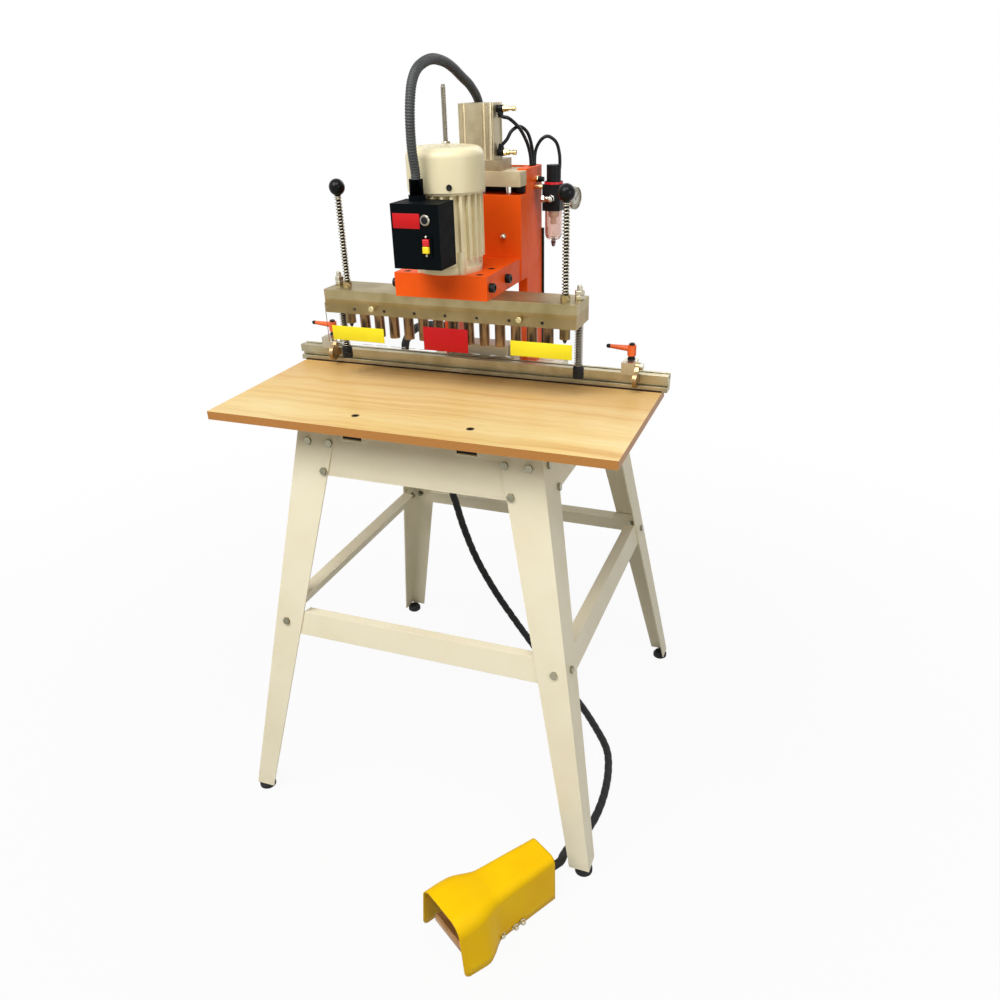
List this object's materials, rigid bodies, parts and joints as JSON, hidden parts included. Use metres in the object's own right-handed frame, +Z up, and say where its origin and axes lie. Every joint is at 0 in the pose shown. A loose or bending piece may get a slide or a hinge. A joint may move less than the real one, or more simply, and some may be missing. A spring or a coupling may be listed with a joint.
{
  "type": "line boring machine",
  "caption": "Pneumatic line boring machine: a row of geared chucks under a motor on a lifting head, fence with flip stops, plywood table, splayed stand, foot pedal.",
  "frame": {"origin": "middle of the footprint at floor level, from the pedal's toe to the back legs", "axes": "+Z up, +X along the spindle row to the operator's right, +Y away from the operator"},
  "size_m": [0.814, 1.1064, 1.4615],
  "materials": {
    "cream_paint": "semi-gloss paint on sheet and castings",
    "orange_paint": "gloss paint on welded steel",
    "yellow_paint": "gloss powder coat",
    "table_wood": "clear-coated birch plywood",
    "bare_aluminium": "milled or extruded, unpainted",
    "steel": "bright turned steel",
    "chuck_steel": "turned steel with a warm oil tone",
    "zinc": "zinc plated",
    "bush_bronze": "bearing bronze",
    "black_plastic": "moulded",
    "black_rubber": "soft, dull",
    "black_steel": "blackened",
    "clear_plastic": "clear sheet",
    "bowl_plastic": "clear bowl with a pinkish guard",
    "red_plastic": "moulded",
    "orange_plastic": "moulded"
  },
  "bodies": {
    "stand": {"stand_legs": "cream_paint", "stand_rails": "cream_paint", "levelling_feet": "black_rubber", "stand_bolts": "zinc", "base_frame": "cream_paint", "table_top": "table_wood", "fence_rail": "bare_aluminium", "column": "orange_paint", "cylinder_bracket": "bare_aluminium", "cylinder_barrel": "bare_aluminium", "fittings": "black_plastic", "air_lines": "black_plastic", "regulator_body": "black_plastic", "filter_bowl": "bowl_plastic", "pressure_gauge": "zinc", "pedal_cover": "yellow_paint", "pedal_base": "black_steel", "foot_hose": "black_rubber"},
    "head": {"carriage": "orange_paint", "motor_saddle": "orange_paint", "gear_case": "bare_aluminium", "gear_case_lid": "bare_aluminium", "motor_body": "cream_paint", "fan_cover": "cream_paint", "switch_box": "black_plastic", "conduit": "black_plastic", "lift_rods": "steel", "spindle_guard": "clear_plastic", "head_bolts": "black_steel", "spindle_bushes": "bush_bronze"},
    "spindle_01": {"spindle_01": "chuck_steel"},
    "spindle_02": {"spindle_02": "chuck_steel"},
    "spindle_03": {"spindle_03": "chuck_steel"},
    "spindle_04": {"spindle_04": "chuck_steel"},
    "spindle_05": {"spindle_05": "chuck_steel"},
    "spindle_06": {"spindle_06": "chuck_steel"},
    "spindle_07": {"spindle_07": "chuck_steel"},
    "spindle_08": {"spindle_08": "chuck_steel"},
    "spindle_09": {"spindle_09": "chuck_steel"},
    "spindle_10": {"spindle_10": "chuck_steel"},
    "spindle_11": {"spindle_11": "chuck_steel"},
    "spindle_12": {"spindle_12": "chuck_steel"},
    "spindle_13": {"spindle_13": "chuck_steel"},
    "index_pin_left": {"index_pin_left": "steel", "index_spring_left": "steel"},
    "hold_down_left": {"hold_down_left": "steel", "hold_down_spring_left": "steel"},
    "index_pin_right": {"index_pin_right": "steel", "index_spring_right": "steel"},
    "hold_down_right": {"hold_down_right": "steel", "hold_down_spring_right": "steel"},
    "stop_block_left": {"stop_block_left": "zinc"},
    "stop_paddle_left": {"stop_paddle_left": "chuck_steel"},
    "stop_lever_left": {"stop_lever_left": "orange_plastic"},
    "stop_block_right": {"stop_block_right": "zinc"},
    "stop_paddle_right": {"stop_paddle_right": "chuck_steel"},
    "stop_lever_right": {"stop_lever_right": "orange_plastic"},
    "switch_rocker": {"switch_rocker": "red_plastic"},
    "pedal_tread": {"pedal_tread": "steel"},
    "regulator_knob": {"regulator_knob": "black_plastic"}
  },
  "joints": [
    {"name": "head_lift", "type": "slide", "parent": "stand", "child": "head", "axis": [0, 0, -1], "range_m": [0, 0.034], "deforming": ["conduit"]},
    {"name": "spindle_01_spin", "type": "hinge", "parent": "head", "child": "spindle_01", "pos_m": [-0.192, 0.08895, 0.9747], "axis": [0, 0, 1], "continuous": true},
    {"name": "spindle_02_spin", "type": "hinge", "parent": "head", "child": "spindle_02", "pos_m": [-0.16, 0.08895, 0.9747], "axis": [0, 0, 1], "continuous": true},
    {"name": "spindle_03_spin", "type": "hinge", "parent": "head", "child": "spindle_03", "pos_m": [-0.128, 0.08895, 0.9747], "axis": [0, 0, 1], "continuous": true},
    {"name": "spindle_04_spin", "type": "hinge", "parent": "head", "child": "spindle_04", "pos_m": [-0.096, 0.08895, 0.9747], "axis": [0, 0, 1], "continuous": true},
    {"name": "spindle_05_spin", "type": "hinge", "parent": "head", "child": "spindle_05", "pos_m": [-0.064, 0.08895, 0.9747], "axis": [0, 0, 1], "continuous": true},
    {"name": "spindle_06_spin", "type": "hinge", "parent": "head", "child": "spindle_06", "pos_m": [-0.032, 0.08895, 0.9747], "axis": [0, 0, 1], "continuous": true},
    {"name": "spindle_07_spin", "type": "hinge", "parent": "head", "child": "spindle_07", "pos_m": [0, 0.08895, 0.9747], "axis": [0, 0, 1], "continuous": true},
    {"name": "spindle_08_spin", "type": "hinge", "parent": "head", "child": "spindle_08", "pos_m": [0.032, 0.08895, 0.9747], "axis": [0, 0, 1], "continuous": true},
    {"name": "spindle_09_spin", "type": "hinge", "parent": "head", "child": "spindle_09", "pos_m": [0.064, 0.08895, 0.9747], "axis": [0, 0, 1], "continuous": true},
    {"name": "spindle_10_spin", "type": "hinge", "parent": "head", "child": "spindle_10", "pos_m": [0.096, 0.08895, 0.9747], "axis": [0, 0, 1], "continuous": true},
    {"name": "spindle_11_spin", "type": "hinge", "parent": "head", "child": "spindle_11", "pos_m": [0.128, 0.08895, 0.9747], "axis": [0, 0, 1], "continuous": true},
    {"name": "spindle_12_spin", "type": "hinge", "parent": "head", "child": "spindle_12", "pos_m": [0.16, 0.08895, 0.9747], "axis": [0, 0, 1], "continuous": true},
    {"name": "spindle_13_spin", "type": "hinge", "parent": "head", "child": "spindle_13", "pos_m": [0.192, 0.08895, 0.9747], "axis": [0, 0, 1], "continuous": true},
    {"name": "index_pin_left_press", "type": "slide", "parent": "head", "child": "index_pin_left", "axis": [0, 0, 1], "range_m": [-0.07, 0], "stiffness_N_per_m": 220, "springref_m": 0.03, "deforming": ["index_spring_left"]},
    {"name": "hold_down_left_press", "type": "slide", "parent": "head", "child": "hold_down_left", "axis": [0, 0, 1], "range_m": [0, 0.03], "stiffness_N_per_m": 700, "springref_m": -0.01, "deforming": ["hold_down_spring_left"]},
    {"name": "index_pin_right_press", "type": "slide", "parent": "head", "child": "index_pin_right", "axis": [0, 0, 1], "range_m": [-0.07, 0], "stiffness_N_per_m": 220, "springref_m": 0.03, "deforming": ["index_spring_right"]},
    {"name": "hold_down_right_press", "type": "slide", "parent": "head", "child": "hold_down_right", "axis": [0, 0, 1], "range_m": [0, 0.03], "stiffness_N_per_m": 700, "springref_m": -0.01, "deforming": ["hold_down_spring_right"]},
    {"name": "stop_left_slide", "type": "slide", "parent": "stand", "child": "stop_block_left", "axis": [1, 0, 0], "range_m": [-0.04, 0.055]},
    {"name": "stop_left_flip", "type": "hinge", "parent": "stop_block_left", "child": "stop_paddle_left", "pos_m": [-0.3167, 0.16695, 0.9341], "axis": [1, 0, 0], "range_deg": [-110, 0]},
    {"name": "stop_left_clamp", "type": "hinge", "parent": "stop_block_left", "child": "stop_lever_left", "pos_m": [-0.33, 0.18745, 0.948], "axis": [0, 0, 1], "range_deg": [-90, 90]},
    {"name": "stop_right_slide", "type": "slide", "parent": "stand", "child": "stop_block_right", "axis": [1, 0, 0], "range_m": [-0.04, 0.055]},
    {"name": "stop_right_flip", "type": "hinge", "parent": "stop_block_right", "child": "stop_paddle_right", "pos_m": [0.3433, 0.16695, 0.9341], "axis": [1, 0, 0], "range_deg": [-110, 0]},
    {"name": "stop_right_clamp", "type": "hinge", "parent": "stop_block_right", "child": "stop_lever_right", "pos_m": [0.33, 0.18745, 0.948], "axis": [0, 0, 1], "range_deg": [-90, 90]},
    {"name": "rocker_tilt", "type": "hinge", "parent": "head", "child": "switch_rocker", "pos_m": [0.02, -0.04505, 1.176], "axis": [1, 0, 0], "range_deg": [-9, 9]},
    {"name": "tread_press", "type": "hinge", "parent": "stand", "child": "pedal_tread", "pos_m": [0.26126, -0.39173, 0.046], "axis": [0.8387, -0.5446, 0], "range_deg": [0, 9], "stiffness_Nm_per_rad": 4, "springref_deg": -17.19},
    {"name": "knob_turn", "type": "hinge", "parent": "stand", "child": "regulator_knob", "pos_m": [0.13, 0.31395, 1.2433], "axis": [0, 0, 1], "range_deg": [-150, 150]}
  ],
  "couplings": [
    {"joint": "spindle_01_spin", "follows": "spindle_07_spin", "ratio": 1},
    {"joint": "spindle_02_spin", "follows": "spindle_07_spin", "ratio": -1},
    {"joint": "spindle_03_spin", "follows": "spindle_07_spin", "ratio": 1},
    {"joint": "spindle_04_spin", "follows": "spindle_07_spin", "ratio": -1},
    {"joint": "spindle_05_spin", "follows": "spindle_07_spin", "ratio": 1},
    {"joint": "spindle_06_spin", "follows": "spindle_07_spin", "ratio": -1},
    {"joint": "spindle_08_spin", "follows": "spindle_07_spin", "ratio": -1},
    {"joint": "spindle_09_spin", "follows": "spindle_07_spin", "ratio": 1},
    {"joint": "spindle_10_spin", "follows": "spindle_07_spin", "ratio": -1},
    {"joint": "spindle_11_spin", "follows": "spindle_07_spin", "ratio": 1},
    {"joint": "spindle_12_spin", "follows": "spindle_07_spin", "ratio": -1},
    {"joint": "spindle_13_spin", "follows": "spindle_07_spin", "ratio": 1}
  ]
}
